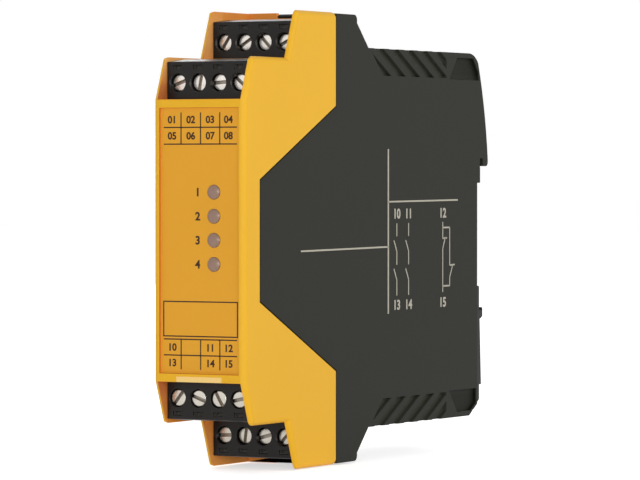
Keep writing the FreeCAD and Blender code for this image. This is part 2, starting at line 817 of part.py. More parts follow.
def foot_catch():
    front = shell_depth + foot_slide_gap
    half = half_width - foot_side_gap
    nose_top = rail_half + foot_nose_gap
    nose_end = nose_top + foot_nose_height
    lip = rail_seat + foot_nose_reach - foot_lip
    tail = rail_seat + foot_swell - foot_tail_step
    wall_end = body_half - foot_chamfer_rise
    rise = foot_chamfer_rise / foot_chamfer_run
    tail_end = wall_end - rise * (tail - shell_depth)
    outline = [
        (front, -foot_top), (rail_seat - 0.2, -foot_top), (rail_seat, -foot_top - 0.4),
        (rail_seat, -nose_top), (lip, -nose_top), (lip, foot_lip - nose_top),
        (rail_seat + foot_nose_reach - 0.2, foot_lip - nose_top),
        (rail_seat + foot_nose_reach, 0.2 - nose_top),
        (rail_seat + foot_nose_reach, 0.6 - nose_end),
        (rail_seat + foot_nose_reach - 1, -nose_end),
        (rail_seat + foot_swell * 0.3, -nose_end),
        (rail_seat + foot_swell, -foot_end), (tail, -foot_end), (tail, -tail_end),
        (front, -wall_end),
    ]
    plate = prism(outline, half)
    slot_z = -(foot_end + wall_end) / 2
    slot = box(-grip_slot_width / 2, grip_slot_width / 2, front - 1, FAR,
               slot_z - grip_slot_height / 2, slot_z + grip_slot_height / 2)
    inside = shell_depth - rear_wall - foot_slide_gap
    stem = box(-stem_half, stem_half, inside - tee_depth, front + 0.1,
               -stem_top - stem_length, -stem_top)
    tee = box(-tee_half, tee_half, inside - tee_depth, inside,
              -stem_top - stem_length, -stem_top)
    y, top = spring_place()
    arm_half = spring_radius + spring_wire
    arm = box(-arm_half, arm_half, y - arm_half, inside - tee_depth + 0.1,
              top + spring_gap, top + spring_gap + arm_height)
    return plate.cut(slot).fuse([stem, tee, arm]).removeSplitter()


def foot_spring():
    y, top = spring_place()
    low = top - spring_length
    height = spring_length - spring_wire
    path = Part.makeHelix(height / spring_turns, height, spring_radius)
    half = spring_wire / 2
    corners = [Vector(spring_radius + sx * half, 0, sz * half)
               for sx, sz in ((-1, -1), (1, -1), (1, 1), (-1, 1))]
    section = Part.makePolygon(corners + corners[:1])
    coil = Part.Wire(path.Edges).makePipeShell([section], True, True)
    coil.translate(Vector(0, y, low + half))
    return coil


def row_pieces():
    pieces = {}
    for row, (face, base, side, drop, turns) in ROWS.items():
        contacts = [plug_contact(x, face, base) for x in pole_places()]
        shapes = {
            "plug_" + row: plug_body(face, base, drop),
            "contacts_" + row: Part.makeCompound(contacts),
            "header_" + row: header_body(face, base),
        }
        for name, shape in shapes.items():
            pieces[name] = shape if side > 0 else upside_down(shape)
        z = side * (base + screw_height)
        for index, (x, turn) in enumerate(zip(pole_places(), turns)):
            number = "_" + str(index + 1)
            pieces["screw_" + row + number] = terminal_screw(x, z, face, drop, turn)
            pieces["clamp_" + row + number] = screw_clamp(x, z, face)
    return pieces


def all_pieces():
    pins = header_pins()
    pieces = row_pieces()
    pieces.update({
        "housing_base": housing_base(),
        "front_cover": front_cover(),
        "header_pins": Part.makeCompound(pins),
        "main_board": main_board(pins),
        "relay_k1": relay(relay_spacing / 2),
        "relay_k2": relay(-relay_spacing / 2),
        "capacitors": Part.makeCompound(capacitors()),
        "logic_chips": Part.makeCompound(logic_chips()),
        "light_guide": light_guide(),
        "status_lamps": Part.makeCompound(status_lamps()),
        "foot_catch": foot_catch(),
        "foot_spring": foot_spring(),
    })
    return pieces


os.makedirs("parts", exist_ok=True)
for name, shape in sorted(all_pieces().items()):
    shape.translate(Vector(0, -rail_seat, 0))
    shape.exportStep("parts/" + name + ".step")
    print(name, "solids", len(shape.Solids), "valid", shape.isValid(), "volume", round(shape.Volume, 1))
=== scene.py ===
import math

import bmesh
import bpy
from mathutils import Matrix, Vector


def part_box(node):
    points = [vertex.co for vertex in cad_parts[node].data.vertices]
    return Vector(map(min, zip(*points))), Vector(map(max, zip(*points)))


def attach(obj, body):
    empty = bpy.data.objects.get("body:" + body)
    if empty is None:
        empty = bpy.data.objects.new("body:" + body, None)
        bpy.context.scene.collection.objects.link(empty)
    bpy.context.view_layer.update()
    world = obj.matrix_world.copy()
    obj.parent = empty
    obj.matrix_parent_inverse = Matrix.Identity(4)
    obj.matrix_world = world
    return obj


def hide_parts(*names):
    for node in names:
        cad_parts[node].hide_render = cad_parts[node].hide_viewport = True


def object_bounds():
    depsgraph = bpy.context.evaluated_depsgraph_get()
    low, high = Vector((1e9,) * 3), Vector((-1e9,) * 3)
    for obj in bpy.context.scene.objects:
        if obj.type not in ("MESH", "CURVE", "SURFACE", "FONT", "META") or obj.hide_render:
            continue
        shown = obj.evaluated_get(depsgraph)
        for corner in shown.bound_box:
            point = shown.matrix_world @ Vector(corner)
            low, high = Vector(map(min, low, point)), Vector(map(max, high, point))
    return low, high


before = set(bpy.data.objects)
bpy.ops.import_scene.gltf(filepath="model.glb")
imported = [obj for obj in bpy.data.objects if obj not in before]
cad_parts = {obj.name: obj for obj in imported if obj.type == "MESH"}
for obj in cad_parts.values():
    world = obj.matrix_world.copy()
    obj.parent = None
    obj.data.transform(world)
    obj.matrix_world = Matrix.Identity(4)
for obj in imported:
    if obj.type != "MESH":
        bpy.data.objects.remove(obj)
cad_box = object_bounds()
scene = bpy.context.scene


# ---- The room: a white table and backdrop, lit from all round and by three large soft
# lamps: at the viewer's side, at the right and behind the left. The relay stands on the
# corners of its rear cheeks, seen from a little right of its front through a long lens.

SKY_STRENGTH = 0.42
FULL_WHITE = (1, 1, 1, 1)
LAMP_AIM = Vector((0, -0.05, 0))
TABLE_REACH = 3.0
TABLE_GAP = 0.0002
TABLE_WHITE = (0.88, 0.88, 0.88, 1)
TABLE_ROUGHNESS = 0.9
TABLE_GLOW = 0.25
TABLE_SEEN = 0.35
VIEW_FROM = (0.44381, -0.86308, 0.01514)
VIEW_TO = (0.007298, -0.0705, -0.000325)
LENS_MM = 232.3
SENSOR_MM = 36
VIEW_END = 20

scene.view_settings.view_transform = "Standard"

world = bpy.data.worlds.new("white_room")
scene.world = world
world.use_nodes = True
sky = world.node_tree
sky.nodes.clear()
sky_light = sky.nodes.new("ShaderNodeBackground")
sky_light.inputs["Strength"].default_value = SKY_STRENGTH
sky_seen = sky.nodes.new("ShaderNodeBackground")
for shader in (sky_light, sky_seen):
    shader.inputs["Color"].default_value = FULL_WHITE
rays = sky.nodes.new("ShaderNodeLightPath")
seen = rays.outputs["Is Camera Ray"]
for kind in ("Is Glossy Ray", "Is Transmission Ray"):
    either = sky.nodes.new("ShaderNodeMath")
    either.operation = "ADD"
    either.use_clamp = True
    sky.links.new(seen, either.inputs[0])
    sky.links.new(rays.outputs[kind], either.inputs[1])
    seen = either.outputs[0]
sky_mix = sky.nodes.new("ShaderNodeMixShader")
sky.links.new(seen, sky_mix.inputs[0])
sky.links.new(sky_light.outputs[0], sky_mix.inputs[1])
sky.links.new(sky_seen.outputs[0], sky_mix.inputs[2])
sky_out = sky.nodes.new("ShaderNodeOutputWorld")
sky.links.new(sky_mix.outputs[0], sky_out.inputs["Surface"])


def lamp(name, place, size, watts):
    """A square soft lamp at a place, turned to the relay."""
    light = bpy.data.lights.new(name, "AREA")
    light.size = size
    light.energy = watts
    holder = bpy.data.objects.new(name, light)
    holder.location = place
    holder.rotation_euler = (LAMP_AIM - Vector(place)).to_track_quat("-Z", "Y").to_euler()
    scene.collection.objects.link(holder)


lamp("side_lamp", (1.2, 0.1, 0.6), 0.7, 4.4)
lamp("front_lamp", (0.58, -1.0, 0.12), 0.45, 4.7)
lamp("back_lamp", (-0.95, 0.8, 0.35), 0.7, 6.5)

white_table = bpy.data.materials.new("white_table")
white_table.use_nodes = True
table = white_table.node_tree
table_paint = table.nodes["Principled BSDF"]
table_paint.inputs["Base Color"].default_value = TABLE_WHITE
table_paint.inputs["Roughness"].default_value = TABLE_ROUGHNESS
table_glow = table.nodes.new("ShaderNodeEmission")
table_glow.inputs["Color"].default_value = FULL_WHITE
table_rays = table.nodes.new("ShaderNodeLightPath")
table_bright = table.nodes.new("ShaderNodeMath")
table_bright.operation = "MULTIPLY_ADD"
table.links.new(table_rays.outputs["Is Camera Ray"], table_bright.inputs[0])
table_bright.inputs[1].default_value = TABLE_SEEN
table_bright.inputs[2].default_value = TABLE_GLOW
table.links.new(table_bright.outputs[0], table_glow.inputs["Strength"])
table_add = table.nodes.new("ShaderNodeAddShader")
table.links.new(table_paint.outputs[0], table_add.inputs[0])
table.links.new(table_glow.outputs[0], table_add.inputs[1])
table.links.new(table_add.outputs[0], table.nodes["Material Output"].inputs["Surface"])

table_mesh = bpy.data.meshes.new("table_top")
table_level = cad_box[0].z - TABLE_GAP
table_mesh.from_pydata(
    [(across * TABLE_REACH, along * TABLE_REACH, table_level)
     for across, along in ((-1, -1), (1, -1), (1, 1), (-1, 1))],
    [], [(0, 1, 2, 3)])
table_mesh.materials.append(white_table)
table_top = bpy.data.objects.new("table_top", table_mesh)
scene.collection.objects.link(table_top)

view = bpy.data.cameras.new("view")
view.lens = LENS_MM
view.sensor_width = SENSOR_MM
view.clip_end = VIEW_END
camera = bpy.data.objects.new("view", view)
camera.location = VIEW_FROM
camera.rotation_euler = (Vector(VIEW_TO) - Vector(VIEW_FROM)).to_track_quat("-Z", "Y").to_euler()
scene.collection.objects.link(camera)
scene.camera = camera


# ---- Front cover: one yellow moulding of glass-filled polyamide, with spark-eroded
# faces and lightly rounded edges. It clips on the base.

FACE = cad_box[0].y
COVER_ROUND = 0.00014
LEAST_ROUND = 0.00001
ROUND_STEPS = 2
CREASE = 38
COVER_YELLOW = (232, 176, 32)
LABEL_YELLOW = (226, 161, 40)
# Painted shade and painted light: the next six colours stand for the shade and light on the panel
# recess's walls, in the bays and on the tab.
RECESS_PAINTED_SHADE = (214, 120, 44)
BAY_PAINTED_SHADE = (240, 150, 60)
FRONT_BAY_PAINTED_SHADE = (207, 123, 62)
UPPER_BAY_PAINTED_LIGHT = (250, 182, 102)
LOWER_REAR_PAINTED_LIGHT = (255, 170, 80)
TAB_PAINTED_HIGHLIGHT = (244, 208, 128)
GRAIN_SIZE = 2600.0
GRAIN_HEIGHT = 0.00001
FLOW_SIZE = 45.0
FLOW_SHADES = (0.94, 1.04)
FLOW_AMOUNT = 0.6
GRAIN_GLOSS = 0.12
PLASTIC_SHINE = 0.3
CRISP = 0.00004
BAY_HALF = 0.01016
FLOOR_HALF = 0.00006
BAY_FLOORS = ((0.0009, 0.0195, 0.03), (0.0197, 0.0389, 0.03905))
PANEL_HALF = 0.0099
PANEL_TOP = 0.0284


def paint(red, green, blue):
    """A colour on the 0 to 255 scale of screens, as the shaders need it."""
    shares = [value / 255 for value in (red, green, blue)]
    return [s / 12.92 if s <= 0.04045 else ((s + 0.055) / 1.055) ** 2.4 for s in shares] + [1.0]


def socket_group(name, ins, outs):
    """An empty group of shader nodes with named inputs and outputs."""
    group = bpy.data.node_groups.new(name, "ShaderNodeTree")
    for label, kind, value in ins:
        socket = group.interface.new_socket(label, in_out="INPUT", socket_type=kind)
        if value is not None:
            socket.default_value = value
    for label, kind in outs:
        group.interface.new_socket(label, in_out="OUTPUT", socket_type=kind)
    return group, group.nodes.new("NodeGroupInput"), group.nodes.new("NodeGroupOutput")


def noise_at(group, place, scale, detail):
    """Noise from 0 to 1 at a place, of a set or linked scale."""
    noise = group.nodes.new("ShaderNodeTexNoise")
    noise.inputs["Detail"].default_value = detail
    group.links.new(place, noise.inputs["Vector"])
    if isinstance(scale, float):
        noise.inputs["Scale"].default_value = scale
    else:
        group.links.new(scale, noise.inputs["Scale"])
    return noise.outputs["Fac"]


def clouded(group, colour, amount, noise, shades):
    """A colour made darker and lighter by noise: in full, or by a linked amount."""
    shade = group.nodes.new("ShaderNodeMapRange")
    group.links.new(noise, shade.inputs["Value"])
    shade.inputs["To Min"].default_value, shade.inputs["To Max"].default_value = shades
    tint = group.nodes.new("ShaderNodeMix")
    tint.data_type = "RGBA"
    tint.blend_type = "MULTIPLY"
    tint.inputs[0].default_value = 1.0
    if amount:
        group.links.new(amount, tint.inputs[0])
    group.links.new(colour, tint.inputs[6])
    group.links.new(shade.outputs[0], tint.inputs[7])
    return tint.outputs[2]


def uneven_gloss(group, gloss, noise, spread):
    """A roughness that noise raises by up to the spread."""
    rough = group.nodes.new("ShaderNodeMath")
    rough.operation = "MULTIPLY_ADD"
    group.links.new(noise, rough.inputs[0])
    rough.inputs[1].default_value = spread
    group.links.new(gloss, rough.inputs[2])
    return rough.outputs[0]


def moulded_face():
    """The skin of a moulding: fine grain, faint flow marks and uneven gloss."""
    floats = "NodeSocketFloat"
    group, ins, outs = socket_group(
        "moulded_face",
        [("Color", "NodeSocketColor", None), ("Grain", floats, GRAIN_SIZE),
         ("Gloss", floats, 0.5), ("Flow", floats, FLOW_AMOUNT)],
        [("Color", "NodeSocketColor"), ("Roughness", floats), ("Height", floats)])
    spot = group.nodes.new("ShaderNodeTexCoord").outputs["Object"]
    grain = noise_at(group, spot, ins.outputs["Grain"], 2.0)
    flow = noise_at(group, spot, FLOW_SIZE, 3.0)
    colour = clouded(group, ins.outputs["Color"], ins.outputs["Flow"], flow, FLOW_SHADES)
    rough = uneven_gloss(group, ins.outputs["Gloss"], grain, GRAIN_GLOSS)
    group.links.new(colour, outs.inputs["Color"])
    group.links.new(rough, outs.inputs["Roughness"])
    group.links.new(grain, outs.inputs["Height"])
    return group


def zone_mask():
    """One inside a box and zero outside, with soft limits and, folded, a twin below."""
    group, ins, outs = socket_group(
        "zone_mask",
        [("Centre", "NodeSocketVector", None), ("Half", "NodeSocketVector", None),
         ("Soft", "NodeSocketVector", None), ("Fold", "NodeSocketFloat", 1.0)],
        [("Mask", "NodeSocketFloat")])
    spot = group.nodes.new("ShaderNodeTexCoord").outputs["Object"]
    apart = group.nodes.new("ShaderNodeSeparateXYZ")
    group.links.new(spot, apart.inputs[0])
    height = group.nodes.new("ShaderNodeMath")
    height.operation = "ABSOLUTE"
    group.links.new(apart.outputs["Z"], height.inputs[0])
    level = group.nodes.new("ShaderNodeMix")
    group.links.new(ins.outputs["Fold"], level.inputs[0])
    group.links.new(apart.outputs["Z"], level.inputs[2])
    group.links.new(height.outputs[0], level.inputs[3])
    folded = group.nodes.new("ShaderNodeCombineXYZ")
    group.links.new(apart.outputs["X"], folded.inputs["X"])
    group.links.new(apart.outputs["Y"], folded.inputs["Y"])
    group.links.new(level.outputs[0], folded.inputs["Z"])
    value = folded.outputs[0]
    for step, other in (("SUBTRACT", "Centre"), ("ABSOLUTE", None), ("SUBTRACT", "Half"),
                        ("DIVIDE", "Soft")):
        maths = group.nodes.new("ShaderNodeVectorMath")
        maths.operation = step
        group.links.new(value, maths.inputs[0])
        if other:
            group.links.new(ins.outputs[other], maths.inputs[1])
        value = maths.outputs[0]
    past = group.nodes.new("ShaderNodeSeparateXYZ")
    group.links.new(value, past.inputs[0])
    worst = past.outputs["X"]
    for axis in ("Y", "Z"):
        larger = group.nodes.new("ShaderNodeMath")
        larger.operation = "MAXIMUM"
        group.links.new(worst, larger.inputs[0])
        group.links.new(past.outputs[axis], larger.inputs[1])
        worst = larger.outputs[0]
    ramp = group.nodes.new("ShaderNodeMapRange")
    group.links.new(worst, ramp.inputs["Value"])
    ramp.inputs["From Min"].default_value = 1.0
    ramp.inputs["From Max"].default_value = 0.0
    group.links.new(ramp.outputs[0], outs.inputs["Mask"])
    return group


MOULDED = moulded_face()
ZONE = zone_mask()


def shine_of(material):
    """The inputs of a material's own shader."""
    return material.node_tree.nodes["Principled BSDF"].inputs


def skinned(name, group, values, relief):
    """A material whose colour, gloss and relief come from a skin with these values."""
    material = bpy.data.materials.new(name)
    material.use_nodes = True
    tree = material.node_tree
    skin = tree.nodes.new("ShaderNodeGroup")
    skin.name = "skin"
    skin.node_tree = group
    for label, value in values.items():
        skin.inputs[label].default_value = value
    bump = tree.nodes.new("ShaderNodeBump")
    bump.inputs["Distance"].default_value = relief
    tree.links.new(skin.outputs["Height"], bump.inputs["Height"])
    tree.links.new(skin.outputs["Color"], shine_of(material)["Base Color"])
    tree.links.new(skin.outputs["Roughness"], shine_of(material)["Roughness"])
    tree.links.new(bump.outputs["Normal"], shine_of(material)["Normal"])
    return material


def moulded_plastic(name, colour, gloss=0.42, grain=GRAIN_SIZE, height=GRAIN_HEIGHT):
    """A plastic with a grained face: its colour, the low end of its roughness, its grain."""
    material = skinned(name, MOULDED, {
        "Color": colour, "Grain": grain, "Gloss": gloss, "Flow": FLOW_AMOUNT}, height)
    shine_of(material)["Specular IOR Level"].default_value = PLASTIC_SHINE
    return material


def tint_zone(material, colour, centre, half, soft=(CRISP, CRISP, CRISP), fold=1.0):
    """Another shade of a material inside a box and, folded, in its twin below the middle."""
    tree = material.node_tree
    face = tree.nodes["skin"]
    zone = tree.nodes.new("ShaderNodeGroup")
    zone.node_tree = ZONE
    zone.inputs["Centre"].default_value = centre
    zone.inputs["Half"].default_value = half
    zone.inputs["Soft"].default_value = soft
    zone.inputs["Fold"].default_value = fold
    shade = tree.nodes.new("ShaderNodeMix")
    shade.data_type = "RGBA"
    tree.links.new(zone.outputs["Mask"], shade.inputs[0])
    if face.inputs["Color"].is_linked:
        tree.links.new(face.inputs["Color"].links[0].from_socket, shade.inputs[6])
    else:
        shade.inputs[6].default_value = face.inputs["Color"].default_value
    shade.inputs[7].default_value = colour
    tree.links.new(shade.outputs[2], face.inputs["Color"])


def room_beside(edge, face, limit):
    """How far a face reaches beside an edge before the surface turns."""
    start, end = (vert.co for vert in edge.verts)
    along = (end - start).normalized()
    inward = face.normal.cross(along)
    for loop in face.loops:
        if loop.edge == edge:
            forward = loop.vert.co == start
            inward = inward if forward else -inward
    room = limit
    for other in face.edges:
        if other == edge or other.calc_face_angle() < math.radians(1):
            continue
        a, b = (vert.co - start for vert in other.verts)
        place = [(point.dot(along), point.dot(inward)) for point in (a, b)]
        for share in (0.15, 0.5, 0.85):
            at = share * (end - start).length
            (u1, v1), (u2, v2) = place
            if (u1 - at) * (u2 - at) < 0:
                height = v1 + (v2 - v1) * (at - u1) / (u2 - u1)
                if height > 1e-9:
                    room = min(room, height)
    return room


def smooth_runs(sharp):
    """Groups of sharp edges that follow on one another without a corner."""
    left = set(sharp)
    while left:
        run, front = [], [left.pop()]
        while front:
            edge = front.pop()
            run.append(edge)
            for vert in edge.verts:
                onward = (edge.other_vert(vert).co - vert.co).normalized()
                for other in vert.link_edges:
                    if other in left:
                        away = (other.other_vert(vert).co - vert.co).normalized()
                        if away.dot(onward) < -0.75:
                            left.discard(other)
                            front.append(other)
        yield run


def mark_roundings(shape, radius):
    """Weighs each sharp edge by the part of the radius that its faces leave room for."""
    weigh = shape.edges.layers.float.new("bevel_weight_edge")
    sharp = {edge for edge in shape.edges if len(edge.link_faces) == 2
             and edge.calc_face_angle() > math.radians(30)}
    for edge in sharp:
        room = min(room_beside(edge, face, 4 * radius) for face in edge.link_faces)
        for vert in edge.verts:
            for other in vert.link_edges:
                if other not in sharp:
                    room = min(room, other.calc_length())
        edge[weigh] = min(1.0, 0.4 * room / radius)
    for run in smooth_runs(sharp):
        share = min(edge[weigh] for edge in run)
        for edge in run:
            edge[weigh] = share if share * radius > LEAST_ROUND else 0.0


def creased(mesh, crease=CREASE):
    """A mesh shaded smooth, except at edges that turn by more than the crease."""
    if "custom_normal" in mesh.attributes:
        mesh.attributes.remove(mesh.attributes["custom_normal"])
    mesh.polygons.foreach_set("use_smooth", [True] * len(mesh.polygons))
    mesh.set_sharp_from_angle(angle=math.radians(crease))
    return mesh


def baked_mesh(seed, name, crease=CREASE):
    """The plain mesh that an object's modifiers make, smooth up to the crease angle."""
    scene.collection.objects.link(seed)
    bpy.context.view_layer.update()
    ready = seed.evaluated_get(bpy.context.evaluated_depsgraph_get())
    mesh = bpy.data.meshes.new_from_object(ready)
    bpy.data.objects.remove(seed)
    mesh.name = name
    return creased(mesh, crease)


def merged_copy(node):
    """A node of the fixed model as one joined shape, without its flat faces' inner edges."""
    shape = bmesh.new()
    shape.from_mesh(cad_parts[node].data)
    bmesh.ops.remove_doubles(shape, verts=shape.verts, dist=2e-7)
    bmesh.ops.dissolve_limit(shape, angle_limit=math.radians(0.6),
                             verts=shape.verts, edges=shape.edges)
    return shape


def drawn_mesh(shape, name):
    """A shape as a plain mesh. The shape is used up."""
    mesh = bpy.data.meshes.new(name)
    shape.to_mesh(mesh)
    shape.free()
    return mesh


def rounded_mesh(shape, name, radius):
    """A shape as a mesh with its sharp edges rounded."""
    mark_roundings(shape, radius)
    seed = bpy.data.objects.new(name, drawn_mesh(shape, name))
    rounding = seed.modifiers.new("rounding", "BEVEL")
    rounding.limit_method = "WEIGHT"
    rounding.width = radius
    rounding.segments = ROUND_STEPS
    rounding.use_clamp_overlap = False
    rounding.loop_slide = False
    return baked_mesh(seed, name)


def rounded_copy(node, name, radius):
    """A merged copy of a fixed node, with its sharp edges rounded."""
    return rounded_mesh(merged_copy(node), name, radius)


def add_piece(name, mesh, material, body, slot, nodes=(), weighted=True):
    """A finished piece that rides on a body and stands for the nodes it was made from."""
    mesh.materials.clear()
    mesh.materials.append(material)
    piece = bpy.data.objects.new(name, mesh)
    scene.collection.objects.link(piece)
    if weighted:
        even = piece.modifiers.new("even_shading", "WEIGHTED_NORMAL")
        even.keep_sharp = True
    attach(piece, body)
    if nodes:
        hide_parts(*nodes)


cover_yellow = moulded_plastic("cover_yellow", paint(*COVER_YELLOW), gloss=0.46)


def cover_zone(colour, behind, height, half, soft=(CRISP, CRISP, CRISP), fold=1.0):
    """Another shade of the cover in a box around a point behind its face and above its middle."""
    tint_zone(cover_yellow, paint(*colour), (0, FACE + behind, height), half, soft, fold)


# Painted shade and painted bounce light: the bays are painted a deeper orange, because their
# walls shade and light one another.
cover_zone(BAY_PAINTED_SHADE, 0.02, 0.04, (BAY_HALF, 0.0202, 0.0099))
# Painted shade: darker next to the panel in the front bays.
cover_zone(FRONT_BAY_PAINTED_SHADE, 0.003, 0.0305, (BAY_HALF, 0.006, 0.001), (CRISP, 0.001, 0.007))
# Painted light: lighter high up in the upper bays.
cover_zone(UPPER_BAY_PAINTED_LIGHT, 0.006, 0.0378, (BAY_HALF, 0.009, 0.0006), (CRISP, 0.001, 0.0045), 0.0)
cover_zone(UPPER_BAY_PAINTED_LIGHT, 0.0233, 0.042, (BAY_HALF, 0.0035, 0.003), (CRISP, 0.001, 0.0055), 0.0)
# Painted light: lighter in the lower rear bays.
cover_zone(LOWER_REAR_PAINTED_LIGHT, 0.03, -0.0445, (BAY_HALF, 0.0102, 0.0055), fold=0.0)
cover_zone(COVER_YELLOW, 0.01, 0, (0.02, 0.02, 0.02993))
# Painted shade: the bay floors get the bays' deeper orange too.
for near, far, height in BAY_FLOORS:
    cover_zone(BAY_PAINTED_SHADE, (near + far) / 2, height, (BAY_HALF, (far - near) / 2, FLOOR_HALF))
cover_zone(LABEL_YELLOW, 0.0006, 0, (PANEL_HALF, 0.0004, PANEL_TOP))
# Painted shade: the walls of the panel's recess are painted a darker orange.
cover_zone(RECESS_PAINTED_SHADE, 0.00035, 0, (PANEL_HALF, 0.00028, PANEL_TOP))
# Painted highlight: a small strip on the frame bars above and below the panel is painted paler,
# as if it caught the light.
cover_zone(TAB_PAINTED_HIGHLIGHT, 0.00025, 0.0294, (0.0056, 0.0001, 0.00065))
add_piece("yellow_cover", rounded_copy("front_cover", "yellow_cover", COVER_ROUND),
          cover_yellow, "housing", "cover_yellow", ["front_cover"])


# ---- Panel print: dark brown ink pad-printed on the recessed front, a film a few
# hundredths of a millimetre thick. Tables of plain numbers stand for the terminals.

PANEL_DEPTH = 0.0007
INK_FILM = 0.00003
INK_BROWN = (60, 40, 30)
INK_SHINE = 0.25
TABLE_LINE = 0.00026
TABLE_ENDS = (-0.00896, 0.00898)
TABLE_RULES = (0.02405, 0.0205, -0.0209, -0.0243)
COLUMN_RULES = (-0.0047, 0.0001, 0.0048)
COLUMN_RUNS = ((0.0205, 0.0272), (-0.0209, -0.0273))
COLUMN_MIDDLES = (-0.0069, -0.0023, 0.00245, 0.0069)
TABLE_DIGIT = 0.0015
TABLE_NUMBERS = (
    (0.0257, ("01", "02", "03", "04")),
    (0.02227, ("05", "06", "07", "08")),
    (-0.0226, ("10", "", "11", "12")),
    (-0.0259, ("13", "", "14", "15")),
)
LABEL_FRAME = (-0.009, 0.0091, -0.02025, -0.0129)
LAMP_DIGIT = 0.0017
LAMP_DIGIT_PLACE = -0.0006
LAMP_HEIGHTS = [0.01033 - index * 0.00509 for index in range(4)]
CAPITAL_SHARE = 0.7
DIGIT_SWELL = 0.045


def ink(name, colour):
    """Printing ink: flat, even and a little rougher than the plastic."""
    material = moulded_plastic(name, colour, gloss=0.55, grain=5200.0, height=0.000004)
    shine_of(material)["Specular IOR Level"].default_value = INK_SHINE
    return material


def front_plane(u, v, out):
    """A point of the front print: across, up, and out of the panel."""
    return Vector((u, FACE + PANEL_DEPTH - out, v))


def add_bar(shape, plane, start, end, width):
    """A straight printed stroke between two points of a print plane."""
    a, b = Vector(start), Vector(end)
    along = (b - a).normalized()
    side = Vector((-along.y, along.x)) * width / 2
    ring = [a - side, b - side, b + side, a + side]
    top = [shape.verts.new(plane(p.x, p.y, INK_FILM)) for p in ring]
    foot = [shape.verts.new(plane(p.x, p.y, -INK_FILM)) for p in ring]
    shape.faces.new(top)
    shape.faces.new(foot[::-1])
    for index in range(4):
        after = (index + 1) % 4
        shape.faces.new((top[index], foot[index], foot[after], top[after]))


def add_frame(shape, plane, left, right, low, high, width):
    """A printed frame of four strokes."""
    half = width / 2
    add_bar(shape, plane, (left - half, low), (right + half, low), width)
    add_bar(shape, plane, (left - half, high), (right + half, high), width)
    add_bar(shape, plane, (left, low + half), (left, high - half), width)
    add_bar(shape, plane, (right, low + half), (right, high - half), width)


def add_number(shape, plane, number, middle, height, stretch=1.0):
    """A plain number in ink, centred on a point of a print plane."""
    words = bpy.data.curves.new("number", "FONT")
    words.body = str(number)
    words.align_x = "CENTER"
    words.size = height / CAPITAL_SHARE
    words.offset = DIGIT_SWELL * height
    words.resolution_u = 6
    holder = bpy.data.objects.new("number", words)
    flat = bpy.data.meshes.new_from_object(holder)
    raised = bmesh.new()
    raised.from_mesh(flat)
    solid = bmesh.ops.extrude_face_region(raised, geom=raised.faces[:])
    for vert in solid["geom"]:
        if isinstance(vert, bmesh.types.BMVert):
            vert.co.z = 1.0
    bottom = min(vert.co.y for vert in raised.verts)
    top = max(vert.co.y for vert in raised.verts)
    for vert in raised.verts:
        out = INK_FILM if vert.co.z > 0.5 else -INK_FILM
        u = middle[0] + vert.co.x * stretch
        v = middle[1] + vert.co.y - (top + bottom) / 2
        vert.co = plane(u, v, out)
    bmesh.ops.recalc_face_normals(raised, faces=raised.faces)
    joined = drawn_mesh(raised, "number")
    shape.from_mesh(joined)
    bpy.data.objects.remove(holder)
    bpy.data.curves.remove(words)
    bpy.data.meshes.remove(flat)
    bpy.data.meshes.remove(joined)


ink_brown = ink("ink_brown", paint(*INK_BROWN))
print_shape = bmesh.new()
for height in TABLE_RULES:
    left, right = ((end, height) for end in TABLE_ENDS)
    add_bar(print_shape, front_plane, left, right, TABLE_LINE)
for column in COLUMN_RULES:
    for near, far in COLUMN_RUNS:
        add_bar(print_shape, front_plane, (column, near), (column, far), TABLE_LINE)
add_frame(print_shape, front_plane, *LABEL_FRAME, TABLE_LINE)
for height, numbers in TABLE_NUMBERS:
    for number, middle in zip(numbers, COLUMN_MIDDLES):
        if number:
            add_number(print_shape, front_plane, number, (middle, height), TABLE_DIGIT)
for number, height in enumerate(LAMP_HEIGHTS, 1):
    add_number(print_shape, front_plane, number, (LAMP_DIGIT_PLACE, height), LAMP_DIGIT)
bmesh.ops.recalc_face_normals(print_shape, faces=print_shape.faces)
add_piece("panel_print", creased(drawn_mesh(print_shape, "panel_print")), ink_brown,
          "housing", "cover_yellow", weighted=False)


# ---- Light guides: one smoked clear moulding whose four domed ends fill the lamp
# holes. They are unlit.

SMOKE = (178, 146, 128)
SMOKE_CLEAR = 0.35
SMOKE_IOR = 1.49
GUIDE_ROUND = 0.00004

smoked_clear = moulded_plastic("smoked_clear", paint(*SMOKE), gloss=0.16, height=0.000002)
shine_of(smoked_clear)["Transmission Weight"].default_value = SMOKE_CLEAR
shine_of(smoked_clear)["IOR"].default_value = SMOKE_IOR
add_piece("lamp_guides", rounded_copy("light_guide", "lamp_guides", GUIDE_ROUND),
          smoked_clear, "housing", "lamp_clear", ["light_guide"])


# ---- Base shell: one dark moulding, matt from its spark-eroded tool, with the hook
# for the rail, slanted vents and grips at its rear corners.

SHELL_ROUND = 0.00018
SHELL_DARK = (41, 41, 36)
SHELL_SHINE = 0.12
RIB_HALF = 0.01105
VENT_PAINTED_LIGHT = (54, 54, 47)
VENT_TIP = (0.05652, 0.04126)
TIP_BACK = 0.001
TIP_DROP = 0.0007
GRIP_PAINTED_SHADE = (22, 22, 15)
GRIP_FADE = 0.002
RIM_INNER = 0.0104
RIM_OUTER = 0.01123
CORNER_RIM = ((0.10576, -0.04148), (0.10898, -0.03949), (0.10898, -0.0355),
              (0.1084, -0.0355), (0.1084, -0.03917), (0.10545, -0.04099))

shell_dark = moulded_plastic("shell_dark", paint(*SHELL_DARK), gloss=0.5)
shine_of(shell_dark)["Specular IOR Level"].default_value = SHELL_SHINE
